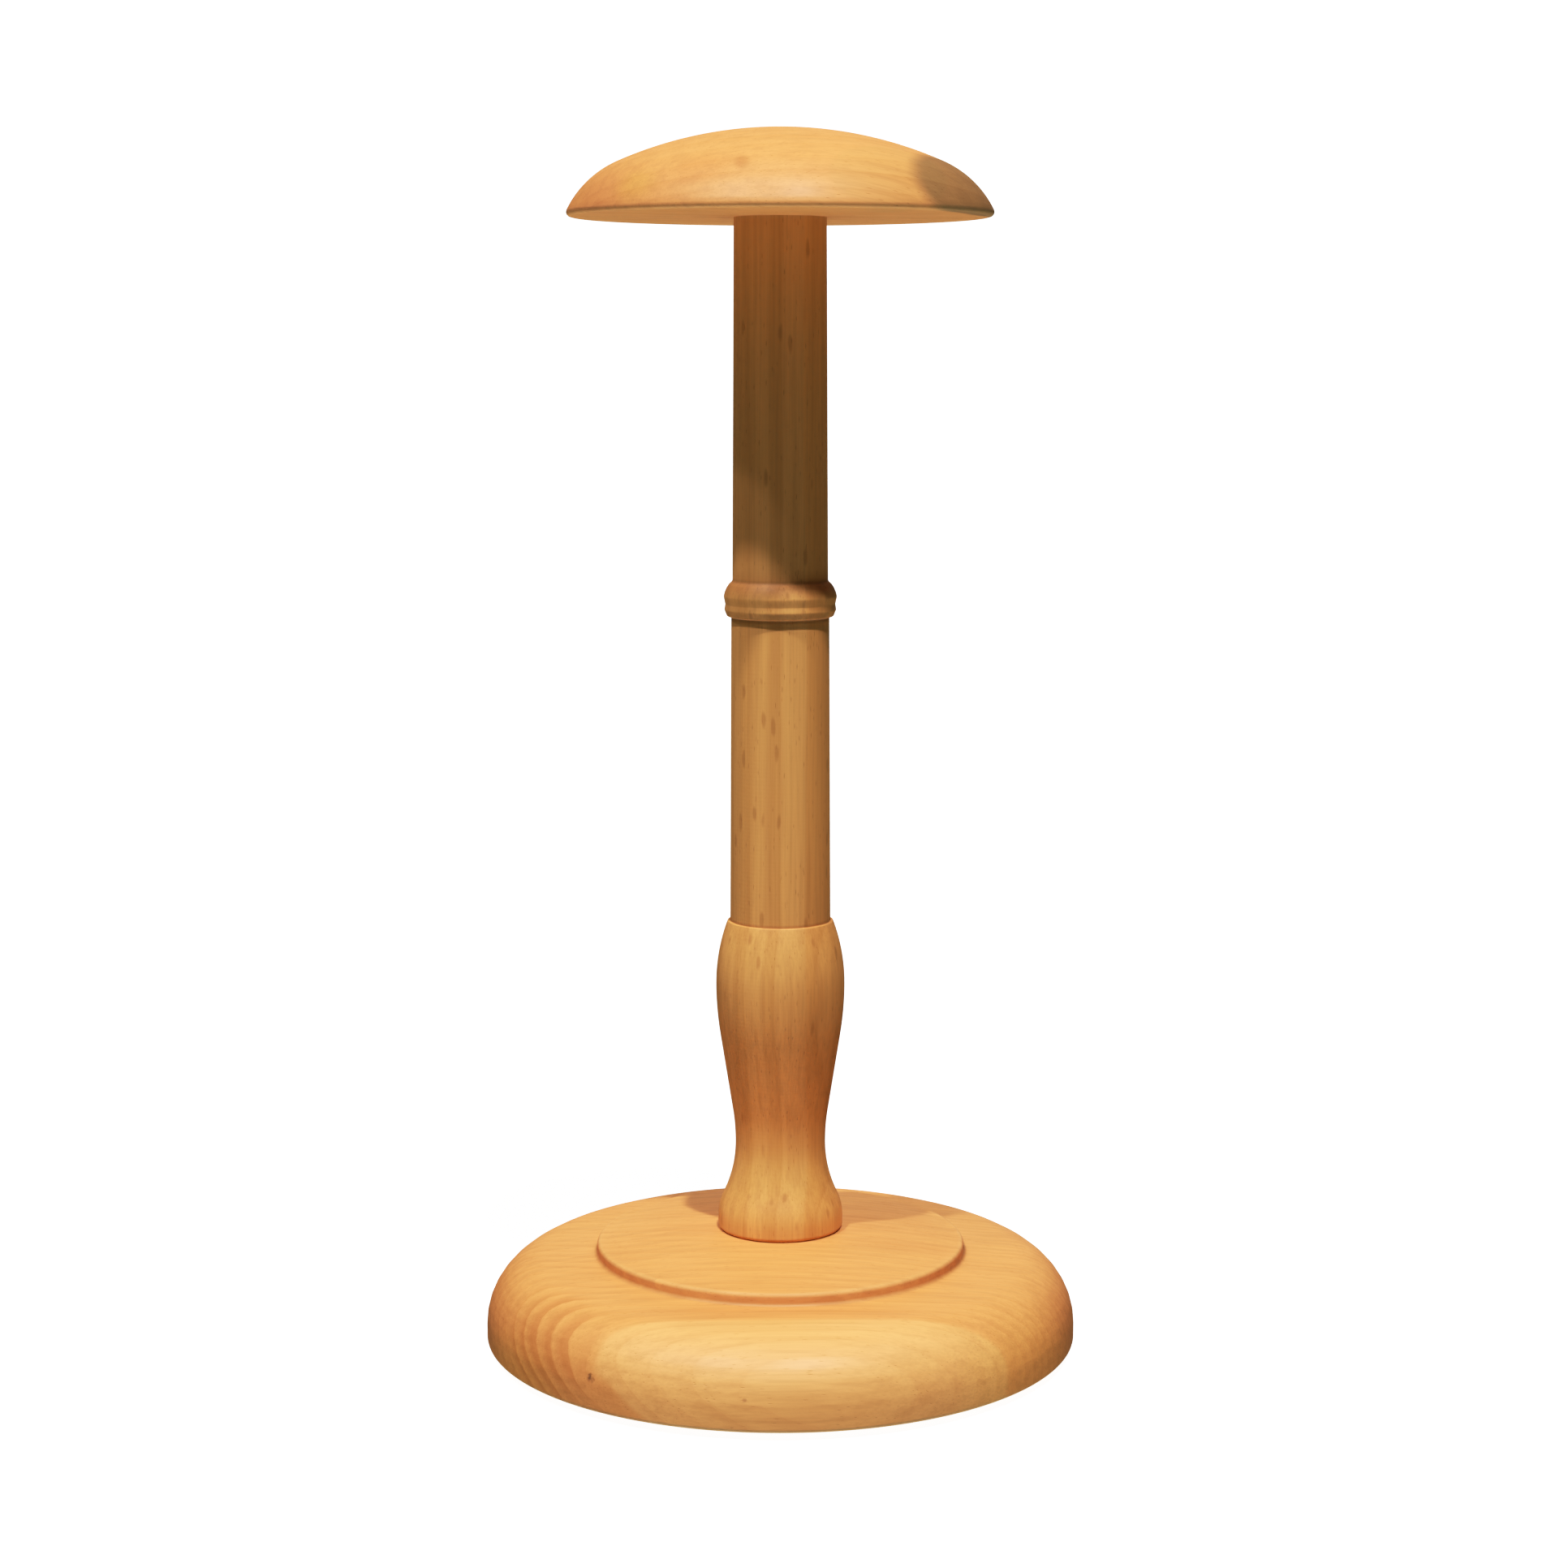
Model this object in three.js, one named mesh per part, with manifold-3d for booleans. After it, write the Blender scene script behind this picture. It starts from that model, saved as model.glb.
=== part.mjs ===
// A turned wooden hat stand: base, column and domed cap, with its hidden bolt and its felt pads.
// Sizes are in millimetres and angles in degrees. The stand is turned about the Z axis, +Z is up,
// and the origin is on the surface that it stands on, under the middle of the base.

import * as THREE from "three";
import * as BufferGeometryUtils from "three/addons/utils/BufferGeometryUtils.js";
import Module from "manifold-3d";

const wasm = await Module();
wasm.setup();

// Felt pads under the base
const padCount = 4;
const padRadius = 9;
const padThickness = 2;
const padEdge = 0.4;
const padInset = 6.5;
const padStart = 45;

// Base: heights are above its underside
const baseRadius = 81.5;
const baseFootRound = 1.2;
const baseSideHeight = 4.5;
const baseRoundOver = 17.8;
const baseTopSlope = 5;
const tableRadius = 50.8;
const tableFillet = 0.8;
const tableStep = 3.3;
const tableEdgeRound = 1;
const tableCrown = 0.45;
const tableHeight = 30.1;
const seatMargin = 0.7;

// Bolted joint between base and column
const boltRadius = 3;
const boltLength = 25;
const boltHeadRadius = 5;
const boltHeadHeight = 6;
const boltHeadChamfer = 0.5;
const boltTipChamfer = 0.8;
const boltTipRoom = 1.9;
const boltHeadRecess = 1.8;
const boltKeyWidth = 5;
const boltKeyDepth = 3;
const washerRadius = 9;
const washerThickness = 1.6;
const washerRoom = 2;
const springWasherRadius = 5.7;
const springWasherThickness = 1.6;
const springWasherGap = 22;
const insertLength = 13;
const insertRadius = 5;
const insertBarbDepth = 0.5;
const insertBarbs = 5;
const insertCollar = 1.5;

// Column: heights are above the table, where its foot stands
const spigotRadius = 10;
const spigotLength = 12;
const spigotEndRoom = 0.5;
const spigotChamfer = 0.8;
const footRadius = 17.2;
const footUnderRound = 1.2;
const footEdgeHeight = 6.9;
const footTopRound = 14;
const neckRadius = 12.4;
const neckHeight = 24.4;
const neckUpperCove = 58;
const bellyRadius = 17.65;
const bellyHeight = 68.9;
const bellyLowerArc = 88;
const bellyUpperArc = 50;
const ledgeHeight = 86.5;
const ledgeRound = 0.3;
const shaftFootRadius = 13.7;
const shaftBelowBeadRadius = 13.25;
const shaftAboveBeadRadius = 12.9;
const shaftTopRadius = 12.35;
const beadHeight = 174.05;
const beadLength = 10.8;
const beadRadius = 15.4;
const beadGrooveDrop = 0.3;
const beadGrooveWidth = 1.8;
const beadGrooveDepth = 0.5;
const columnLength = 275.7;
const tenonRadius = 8;
const tenonLength = 13;
const tenonChamfer = 0.8;

// Cap: heights are above its underside
const capHeight = 23.3;
const capCrownArc = 108;
const capCrownRadius = 43.4;
const capShoulderArc = 26.6;
const capRimRound = 1.2;
const mortiseEndRoom = 1;

// Clearances between a piece and the one that it passes through or sits in
const glueGap = 0.3;
const boltGap = 0.3;
const insertGap = 0.3;

// Sides of each round piece
const baseSides = 64;
const columnSides = 32;
const capSides = 56;
const padSides = 24;
const hardwareSides = 24;

const radians = THREE.MathUtils.degToRad;

// Heights of the seats above the surface that the stand stands on
const undersideZ = padThickness;
const seatZ = undersideZ + tableHeight;
const capZ = seatZ + columnLength;
const insertZ = seatZ - spigotLength;
const boltHeadZ = undersideZ + boltHeadRecess + boltHeadHeight;
const springWasherZ = boltHeadZ;
const washerZ = springWasherZ + springWasherThickness;
const counterboreZ = washerZ + washerThickness;

const point = (radius, height) => new THREE.Vector2(radius, height);

// Points of an arc in the (radius, height) plane. Angle 0 points away from the axis, 90 points up.
function arc(centre, radius, fromAngle, toAngle, steps) {
  const clockwise = toAngle < fromAngle;
  const curve = new THREE.EllipseCurve(
    centre.x, centre.y, radius, radius, radians(fromAngle), radians(toAngle), clockwise,
  );
  return curve.getPoints(steps);
}

// Points of a shallow arc from one point to another that stands proud of their chord by rise
function shallowArc(from, to, rise, steps) {
  const chord = to.clone().sub(from);
  const half = chord.length() / 2;
  const radius = (half * half + rise * rise) / (2 * rise);
  const outward = new THREE.Vector2(chord.y, -chord.x).normalize();
  const centre = from.clone().lerp(to, 1 / 2).addScaledVector(outward, rise - radius);
  const angleOf = (p) => THREE.MathUtils.radToDeg(Math.atan2(p.y - centre.y, p.x - centre.x));
  return arc(centre, radius, angleOf(from), angleOf(to), steps);
}

// A piece turned on the lathe from its outline, which runs counterclockwise in the (radius, height)
// plane and starts and ends on the axis, or closes on itself
function turned(outline, sides) {
  const kept = outline.filter((p, i) => i === 0 || p.distanceTo(outline[i - 1]) > Number.EPSILON);
  return new THREE.LatheGeometry(kept, sides).rotateX(Math.PI / 2);
}

function ringOutline(innerRadius, outerRadius, thickness) {
  return [
    point(innerRadius, 0), point(outerRadius, 0),
    point(outerRadius, thickness), point(innerRadius, thickness), point(innerRadius, 0),
  ];
}

function toSolid(geometry) {
  const bare = geometry.clone();
  bare.deleteAttribute("normal");
  bare.deleteAttribute("uv");
  const merged = BufferGeometryUtils.mergeVertices(bare);
  return new wasm.Manifold(new wasm.Mesh({
    numProp: 3,
    vertProperties: new Float32Array(merged.attributes.position.array),
    triVerts: new Uint32Array(merged.index.array),
  }));
}

function toGeometry(solid) {
  const mesh = solid.getMesh();
  const geometry = new THREE.BufferGeometry();
  geometry.setAttribute("position", new THREE.BufferAttribute(mesh.vertProperties, mesh.numProp));
  geometry.setIndex(new THREE.BufferAttribute(mesh.triVerts, 1));
  geometry.computeVertexNormals();
  return geometry;
}

// The base's outside: footing, side, large round-over, gentle slope, and the table's stepped edge
function baseOutside() {
  const roundCentre = point(baseRadius - baseRoundOver, baseSideHeight);
  const shoulder = arc(roundCentre, baseRoundOver, 0, 90 - baseTopSlope, 12);
  const shoulderEnd = shoulder[shoulder.length - 1];
  const filletFoot = tableRadius + tableFillet;
  const slopeRise = (shoulderEnd.x - filletFoot) * Math.tan(radians(baseTopSlope));
  const stepFoot = shoulderEnd.y + slopeRise;
  const stepTop = stepFoot + tableStep;
  const tableEdge = point(tableRadius - tableEdgeRound, stepTop);
  const seatEdge = point(footRadius + seatMargin, tableHeight);
  const footCentre = point(baseRadius - baseFootRound, baseFootRound);
  return [
    ...arc(footCentre, baseFootRound, -90, 0, 3),
    ...shoulder,
    ...arc(point(filletFoot, stepFoot + tableFillet), tableFillet, -90, -180, 3),
    ...arc(point(tableEdge.x, stepTop - tableEdgeRound), tableEdgeRound, 0, 90, 3),
    ...shallowArc(tableEdge, seatEdge, tableCrown, 5).slice(1),
  ];
}

function makeBase() {
  const socketRadius = spigotRadius + glueGap;
  const socketFloor = tableHeight - spigotLength - spigotEndRoom;
  const boltHoleRadius = boltRadius + boltGap;
  const counterboreRadius = washerRadius + washerRoom;
  const counterboreDepth = counterboreZ - undersideZ;
  const outline = [
    point(boltHoleRadius, counterboreDepth),
    point(counterboreRadius, counterboreDepth),
    point(counterboreRadius, 0),
    ...baseOutside(),
    point(socketRadius, tableHeight),
    point(socketRadius, socketFloor),
    point(boltHoleRadius, socketFloor),
    point(boltHoleRadius, counterboreDepth),
  ];
  return turned(outline, baseSides);
}

// Lean from the vertical of the straight flare that joins the neck's cove to the belly's arc
function flareAngle() {
  const arcs = neckUpperCove + bellyLowerArc;
  const across = arcs - (bellyRadius - neckRadius);
  const up = bellyHeight - neckHeight;
  const lean = Math.atan2(up, across) - Math.acos(arcs / Math.hypot(across, up));
  return THREE.MathUtils.radToDeg(lean);
}

// The foot's edge, rounded under and over, and the cove from it up to the neck. The cove aims at the
// corner at footEdgeHeight, which the upper round takes off
function footOutline() {
  const across = footRadius - neckRadius;
  const up = neckHeight - footEdgeHeight;
  const coveRadius = (across * across + up * up) / (2 * across);
  const coveCentre = point(neckRadius + coveRadius, neckHeight);
  const roundX = footRadius - footTopRound;
  const reach = coveCentre.x - roundX;
  const drop = Math.sqrt((coveRadius + footTopRound) ** 2 - reach ** 2);
  const lean = THREE.MathUtils.radToDeg(Math.atan2(drop, reach));
  const underCentre = point(footRadius - footUnderRound, footUnderRound);
  return [
    ...arc(underCentre, footUnderRound, -90, 0, 4),
    ...arc(point(roundX, neckHeight - drop), footTopRound, 0, lean, 4),
    ...arc(coveCentre, coveRadius, 180 + lean, 180, 6).slice(1),
  ];
}

// The vase above the neck: cove, straight flare, belly, and the arc in to the ledge
function vaseOutline() {
  const flare = flareAngle();
  const neckCentre = point(neckRadius + neckUpperCove, neckHeight);
  const lowerCentre = point(bellyRadius - bellyLowerArc, bellyHeight);
  const upperCentre = point(bellyRadius - bellyUpperArc, bellyHeight);
  const ledgeAngle = THREE.MathUtils.radToDeg(Math.asin((ledgeHeight - bellyHeight) / bellyUpperArc));
  const ledge = arc(upperCentre, bellyUpperArc, 0, ledgeAngle, 6);
  const ledgeEdge = ledge[ledge.length - 1];
  return [
    ...arc(neckCentre, neckUpperCove, 180, 180 - flare, 3).slice(1),
    ...arc(lowerCentre, bellyLowerArc, -flare, 0, 3),
    ...ledge.slice(1),
    point(ledgeEdge.x - ledgeRound, ledgeHeight + ledgeRound),
    point(shaftFootRadius, ledgeHeight + ledgeRound),
  ];
}

// The bead, an arc cut in two by a shallow groove just below its middle
function beadOutline() {
  const half = beadLength / 2;
  const proud = beadRadius - (shaftBelowBeadRadius + shaftAboveBeadRadius) / 2;
  const radius = (half * half + proud * proud) / (2 * proud);
  const centre = point(beadRadius - radius, beadHeight);
  const angleAt = (rise) => THREE.MathUtils.radToDeg(Math.asin(rise / radius));
  const grooveTop = angleAt(beadGrooveWidth / 2 - beadGrooveDrop);
  const grooveFoot = angleAt(-beadGrooveWidth / 2 - beadGrooveDrop);
  return [
    point(shaftBelowBeadRadius, beadHeight - half),
    ...arc(centre, radius, angleAt(-half), grooveFoot, 4).slice(1),
    point(beadRadius - beadGrooveDepth, beadHeight - beadGrooveDrop),
    ...arc(centre, radius, grooveTop, angleAt(half), 3).slice(0, -1),
    point(shaftAboveBeadRadius, beadHeight + half),
  ];
}

function makeColumn() {
  const boreRadius = insertRadius + insertGap;
  const tipRadius = boltRadius + boltGap;
  const boreTop = insertLength + insertGap - spigotLength;
  const tipTop = Math.max(boreTop, boltHeadZ + boltLength + boltTipRoom - seatZ);
  const tenonTop = columnLength + tenonLength;
  const outline = [
    point(0, tipTop),
    point(tipRadius, tipTop),
    point(tipRadius, boreTop),
    point(boreRadius, boreTop),
    point(boreRadius, -spigotLength),
    point(spigotRadius - spigotChamfer, -spigotLength),
    point(spigotRadius, -spigotLength + spigotChamfer),
    point(spigotRadius, 0),
    ...footOutline(),
    ...vaseOutline(),
    ...beadOutline(),
    point(shaftTopRadius, columnLength),
    point(tenonRadius, columnLength),
    point(tenonRadius, tenonTop - tenonChamfer),
    point(tenonRadius - tenonChamfer, tenonTop),
    point(0, tenonTop),
  ];
  return turned(outline, columnSides);
}

// The cap's dome: a small round at the rim, a tight shoulder arc and a flat crown arc, all tangent
function domeOutline() {
  const crownAngle = Math.asin(capCrownRadius / capCrownArc);
  const arcsApart = capCrownArc - capShoulderArc;
  const crownCentre = point(0, capHeight - capCrownArc);
  const shoulderCentre = point(
    arcsApart * Math.sin(crownAngle), crownCentre.y + arcsApart * Math.cos(crownAngle),
  );
  const rimReach = capShoulderArc - capRimRound;
  const rimRise = capRimRound - shoulderCentre.y;
  const rimCentre = point(shoulderCentre.x + Math.sqrt(rimReach ** 2 - rimRise ** 2), capRimRound);
  const rimAngle = THREE.MathUtils.radToDeg(Math.asin(rimRise / rimReach));
  const joinAngle = 90 - THREE.MathUtils.radToDeg(crownAngle);
  return [
    ...arc(rimCentre, capRimRound, -90, rimAngle, 4),
    ...arc(shoulderCentre, capShoulderArc, rimAngle, joinAngle, 7).slice(1),
    ...arc(crownCentre, capCrownArc, joinAngle, 90, 6).slice(1, -1),
    point(0, capHeight),
  ];
}

function makeCap() {
  const mortiseRadius = tenonRadius + glueGap;
  const mortiseDepth = tenonLength + mortiseEndRoom;
  const outline = [
    point(0, mortiseDepth),
    point(mortiseRadius, mortiseDepth),
    point(mortiseRadius, 0),
    ...domeOutline(),
  ];
  return turned(outline, capSides);
}

// Socket-head bolt, pointing up from the underside of its head at height 0
function makeBolt() {
  const body = turned([
    point(0, -boltHeadHeight),
    point(boltHeadRadius - boltHeadChamfer, -boltHeadHeight),
    point(boltHeadRadius, -boltHeadHeight + boltHeadChamfer),
    point(boltHeadRadius, 0),
    point(boltRadius, 0),
    point(boltRadius, boltLength - boltTipChamfer),
    point(boltRadius - boltTipChamfer, boltLength),
    point(0, boltLength),
  ], hardwareSides);
  const keyRadius = boltKeyWidth / Math.sqrt(3);
  const key = new THREE.CylinderGeometry(keyRadius, keyRadius, 2 * boltKeyDepth, 6);
  key.rotateX(Math.PI / 2).translate(0, 0, -boltHeadHeight);
  return toGeometry(toSolid(body).subtract(toSolid(key)));
}

const makeFlatWasher = () => turned(
  ringOutline(boltRadius + boltGap, washerRadius, washerThickness), hardwareSides,
);

// Split spring washer, pressed flat
function makeSpringWasher() {
  const from = radians(springWasherGap / 2);
  const to = 2 * Math.PI - from;
  const shape = new THREE.Shape();
  shape.absarc(0, 0, springWasherRadius, from, to, false);
  shape.absarc(0, 0, boltRadius + boltGap, to, from, true);
  shape.closePath();
  return new THREE.ExtrudeGeometry(shape, {
    depth: springWasherThickness, bevelEnabled: false, curveSegments: hardwareSides,
  });
}

// Brass insert with ring barbs that taper towards the end that goes in first
function makeInsert() {
  const bore = boltRadius + boltGap;
  const pitch = (insertLength - insertCollar) / insertBarbs;
  const outline = [point(bore, 0), point(insertRadius, 0), point(insertRadius, insertCollar)];
  for (let i = 0; i < insertBarbs; i += 1) {
    const foot = insertCollar + i * pitch;
    outline.push(point(insertRadius - insertBarbDepth, foot + pitch / 2));
    outline.push(point(i < insertBarbs - 1 ? insertRadius : insertRadius - insertBarbDepth, foot + pitch));
  }
  outline.push(point(bore, insertLength), point(bore, 0));
  return turned(outline, hardwareSides);
}

const makePad = () => turned([
  point(0, 0),
  point(padRadius - padEdge, 0),
  point(padRadius, padEdge),
  point(padRadius, padThickness),
  point(0, padThickness),
], padSides);

const wood = { color: 0xd9a468, roughness: 0.45, metalness: 0 };
const shaftWood = { color: 0xc08c52, roughness: 0.45, metalness: 0 };
const steel = { color: 0xb4b6ba, roughness: 0.35, metalness: 1 };
const brass = { color: 0xc9a24c, roughness: 0.35, metalness: 1 };
const felt = { color: 0x4a3b2e, roughness: 0.95, metalness: 0 };

const stand = new THREE.Group();

function add(name, geometry, look, height) {
  const mesh = new THREE.Mesh(geometry, new THREE.MeshStandardMaterial(look));
  mesh.name = name;
  mesh.position.z = height;
  stand.add(mesh);
  return mesh;
}

add("base", makeBase(), wood, undersideZ);
add("column", makeColumn(), shaftWood, seatZ);
add("cap", makeCap(), wood, capZ);
add("thread_insert", makeInsert(), brass, insertZ);
add("base_bolt", makeBolt(), steel, boltHeadZ);
add("flat_washer", makeFlatWasher(), steel, washerZ);
add("spring_washer", makeSpringWasher(), steel, springWasherZ);
const padCircleRadius = baseRadius - padInset - padRadius;
for (let i = 0; i < padCount; i += 1) {
  const angle = radians(padStart + (360 * i) / padCount);
  const pad = add(`felt_pad_${i + 1}`, makePad(), felt, 0);
  pad.position.x = padCircleRadius * Math.cos(angle);
  pad.position.y = padCircleRadius * Math.sin(angle);
}

export default stand;
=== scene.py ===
import math
import bpy
import numpy as np
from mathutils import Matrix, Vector


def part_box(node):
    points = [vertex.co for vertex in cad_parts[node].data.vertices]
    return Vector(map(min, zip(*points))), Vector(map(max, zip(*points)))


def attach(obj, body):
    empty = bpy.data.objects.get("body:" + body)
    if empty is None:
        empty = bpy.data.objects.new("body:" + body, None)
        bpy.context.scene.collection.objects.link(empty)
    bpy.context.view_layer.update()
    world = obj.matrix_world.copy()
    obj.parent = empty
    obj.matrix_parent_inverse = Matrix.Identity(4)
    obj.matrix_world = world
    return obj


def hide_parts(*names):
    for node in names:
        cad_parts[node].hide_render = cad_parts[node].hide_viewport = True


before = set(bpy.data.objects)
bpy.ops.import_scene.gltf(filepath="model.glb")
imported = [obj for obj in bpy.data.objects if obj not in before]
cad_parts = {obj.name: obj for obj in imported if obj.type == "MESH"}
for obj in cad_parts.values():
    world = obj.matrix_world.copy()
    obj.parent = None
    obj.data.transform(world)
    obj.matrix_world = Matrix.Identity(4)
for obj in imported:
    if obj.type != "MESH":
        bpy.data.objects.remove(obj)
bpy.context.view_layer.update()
print("frame loaded:", len(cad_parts), "nodes")

# Lengths in the dictionaries are in millimetres and angles in degrees, unless a name says otherwise
mm = 0.001

# the bolt's thread, and the hole that it passes through in every piece
boltRadius = 3.0
boltPassage = boltRadius + 0.3


def tone(code):
    # a colour written as the screen shows it, 0xRRGGBB, turned into linear light
    parts = [(code >> shift & 255) / 255 for shift in (16, 8, 0)]
    return (*[p / 12.92 if p < 0.04045 else ((p + 0.055) / 1.055) ** 2.4 for p in parts], 1)


def setStops(node, stops):
    # a colour ramp's places and colours
    ramp = node.color_ramp.elements
    while len(ramp) < len(stops):
        ramp.new(0.5)
    for stop, (position, colour) in zip(ramp, stops):
        stop.position = position
        stop.color = colour


class Wire:
    # one socket of a node tree; arithmetic on it adds Math nodes
    def __init__(self, look, socket):
        self.look = look
        self.socket = socket

    def maths(self, operation, *values):
        return self.look.node("Math", {"operation": operation}, dict(enumerate(values)))

    def __add__(self, other):
        return self.maths("ADD", self, other)

    def __radd__(self, other):
        return self.maths("ADD", other, self)

    def __sub__(self, other):
        return self.maths("SUBTRACT", self, other)

    def __rsub__(self, other):
        return self.maths("SUBTRACT", other, self)

    def __mul__(self, other):
        return self.maths("MULTIPLY", self, other)

    def __rmul__(self, other):
        return self.maths("MULTIPLY", other, self)

    def __truediv__(self, other):
        return self.maths("DIVIDE", self, other)

    def __pow__(self, power):
        return self.maths("POWER", self, power)

    def __abs__(self):
        return self.maths("ABSOLUTE", self)

    def __matmul__(self, axis):
        # how far a place lies along an axis
        return self.look.node("VectorMath", {"operation": "DOT_PRODUCT"}, {0: self, 1: axis}, output=1)


class Look:
    # a material with its nodes
    def __init__(self, name, **fixed):
        self.material = bpy.data.materials.new(name)
        self.material.use_nodes = True
        self.nodes = self.material.node_tree.nodes
        self.links = self.material.node_tree.links
        self.shader = self.nodes["Principled BSDF"]
        for socket, value in fixed.items():
            self.shader.inputs[socket].default_value = value

    def node(self, kind, settings=None, values=None, output=0):
        # the one way that a node is added: its settings first, then its sockets' values or links
        made = self.nodes.new("ShaderNode" + kind)
        for key, value in (settings or {}).items():
            if key == "stops":
                setStops(made, value)
            else:
                setattr(made, key, value)
        for key, value in (values or {}).items():
            if isinstance(value, Wire):
                self.links.new(value.socket, made.inputs[key])
            else:
                made.inputs[key].default_value = value
        return Wire(self, made.outputs[output])

    def place(self):
        # where a point is, in millimetres in the stand's own frame
        spot = self.node("TexCoord", output="Object")
        return self.node("VectorMath", {"operation": "SCALE"}, {0: spot, "Scale": 1 / mm})

    def vector(self, x, y, z):
        return self.node("CombineXYZ", {}, {0: x, 1: y, 2: z})

    def kept(self, name):
        # a number that a turned piece keeps at each point
        return self.node("Attribute", {"attribute_name": name}, output="Fac")

    def noise(self, at, scale=1.0, detail=2.0, roughness=0.5, distortion=0.0):
        values = {"Vector": at, "Scale": scale, "Detail": detail}
        values.update({"Roughness": roughness, "Distortion": distortion})
        return self.node("TexNoise", {}, values)

    def cells(self, at, scale=1.0, output="Distance"):
        return self.node("TexVoronoi", {}, {"Vector": at, "Scale": scale}, output)

    def between(self, value, low, high):
        # 0 below low, 1 above high, and a smooth step in between; the other way round if high is the lower
        step = {"interpolation_type": "SMOOTHSTEP"}
        return self.node("MapRange", step, {"Value": value, "From Min": low, "From Max": high})

    def ramp(self, value, stops):
        return self.node("ValToRGB", {"stops": stops}, {0: value})

    def mix(self, share, colour, other, blend="MIX"):
        settings = {"data_type": "RGBA", "blend_type": blend}
        return self.node("Mix", settings, {0: share, 6: colour, 7: other}, output=2)

    def tinted(self, share, colour, tint):
        return self.mix(share, colour, self.mix(1.0, colour, (*tint, 1), "MULTIPLY"))

    def feed(self, **sockets):
        for name, wire in sockets.items():
            self.links.new(wire.socket, self.shader.inputs[name])

    def raised(self, height, strength=1.0):
        # relief on the surface, from heights in millimetres
        return self.node("Bump", {}, {"Height": height, "Strength": strength, "Distance": mm})


# Turning

# how far either way along an outline a hollow or an edge is felt
hollowReach = 1.2


def rounded(corners):
    # an outline through (radius, height) corners; a third number rounds that corner off
    path = [Vector(corners[0][:2])]
    for before, corner, after in zip(corners, corners[1:], corners[2:]):
        at = Vector(corner[:2])
        if len(corner) < 3:
            path.append(at)
            continue
        back = (Vector(before[:2]) - at).normalized()
        ahead = (Vector(after[:2]) - at).normalized()
        half = back.angle(ahead) / 2
        centre = at + (back + ahead).normalized() * corner[2] / math.sin(half)
        start, end = (at + side * corner[2] / math.tan(half) - centre for side in (back, ahead))
        first = math.atan2(start.y, start.x)
        sweep = (math.atan2(end.y, end.x) - first + math.pi) % (2 * math.pi) - math.pi
        steps = max(3, round(abs(sweep) / math.radians(9)))
        for k in range(steps + 1):
            angle = first + sweep * k / steps
            path.append(centre + corner[2] * Vector((math.cos(angle), math.sin(angle))))
    path.append(Vector(corners[-1][:2]))
    return path


def arc(centre, radius, start, end):
    # points of an arc in the (radius, height) plane; 0 degrees points away from the axis
    steps = max(4, round(abs(end - start) * math.pi / 180 * radius / 1.2))
    angles = [math.radians(start + (end - start) * k / steps) for k in range(steps + 1)]
    return [(centre[0] + radius * math.cos(a), centre[1] + radius * math.sin(a)) for a in angles]


def filled(path, longest):
    # the outline with points no further apart than longest, so that shading stays true beside edges
    rows = [Vector(path[0])]
    for point in path[1:]:
        last = rows[-1]
        gap = (Vector(point) - last).length
        if gap < 1e-6:
            continue
        count = math.ceil(gap / longest)
        rows += [last.lerp(Vector(point), k / count) for k in range(1, count + 1)]
    return rows


def hollowness(rows, travel, reach):
    # how far the outline turns within reach of each row: above 0 in a hollow, below 0 on an edge
    radii = [row.x for row in rows]
    heights = [row.y for row in rows]

    def at(distance):
        return np.array([np.interp(distance, travel, radii), np.interp(distance, travel, heights)])

    middle = at(travel)
    back = middle - at(travel - reach)
    ahead = at(travel + reach) - middle
    cross = back[0] * ahead[1] - back[1] * ahead[0]
    dot = (back * ahead).sum(0)
    return -np.arctan2(cross, dot) / (math.pi / 2)


def turned(name, outline, sides, low=0.0, longest=1.4, shape=None):
    # a closed mesh spun from an outline in millimetres, which starts and ends on the axis or closes
    # on itself; low is its height in metres, and shape(radius, height, angles) may carve the surface
    rows = filled(outline, longest)
    onAxis = rows[0].x < 1e-6
    if not onAxis:
        rows.pop()
    steps = [(b - a).length for a, b in zip(rows, rows[1:])]
    travel = np.concatenate([[0], np.cumsum(steps)])
    hollow = hollowness(rows, travel, hollowReach)
    angles = 2 * math.pi * np.arange(sides) / sides
    points, rings, keep = [], [], []
    for row, far, dip in zip(rows, travel, hollow):
        count = 1 if row.x < 1e-6 else sides
        rings.append(list(range(len(points), len(points) + count)))
        radius = np.full(sides, row.x)
        if shape:
            radius = shape(radius, row.y, angles)
        for k in range(count):
            x = radius[k] * math.cos(angles[k])
            y = radius[k] * math.sin(angles[k])
            points.append((x * mm, y * mm, row.y * mm + low))
            keep.append((far, dip))
    faces = []
    for a, b in zip(rings, rings[1:] if onAxis else rings[1:] + rings[:1]):
        for k in range(sides):
            loop = [a[k % len(a)], a[(k + 1) % len(a)], b[(k + 1) % len(b)], b[k % len(b)]]
            faces.append(list(dict.fromkeys(loop)))
    mesh = bpy.data.meshes.new(name)
    mesh.from_pydata(points, [], faces)
    for key, column in (("travel", 0), ("hollow", 1)):
        values = mesh.attributes.new(key, "FLOAT", "POINT")
        values.data.foreach_set("value", np.array(keep)[:, column].astype(np.float32))
    return finished(name, mesh)


def finished(name, mesh, sharp=50):
    mesh.validate()
    mesh.polygons.foreach_set("use_smooth", [True] * len(mesh.polygons))
    mesh.set_sharp_from_angle(angle=math.radians(sharp))
    piece = bpy.data.objects.new(name, mesh)
    bpy.context.scene.collection.objects.link(piece)
    return piece


def placed(piece, node, look):
    # the piece stands for a CAD node, in the slot's finish
    piece.data.materials.append(look.material)
    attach(piece, "root")
    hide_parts(node)
    return piece


# Wood: growth rings are surfaces in the solid piece, and the lathe has cut through them

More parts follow.
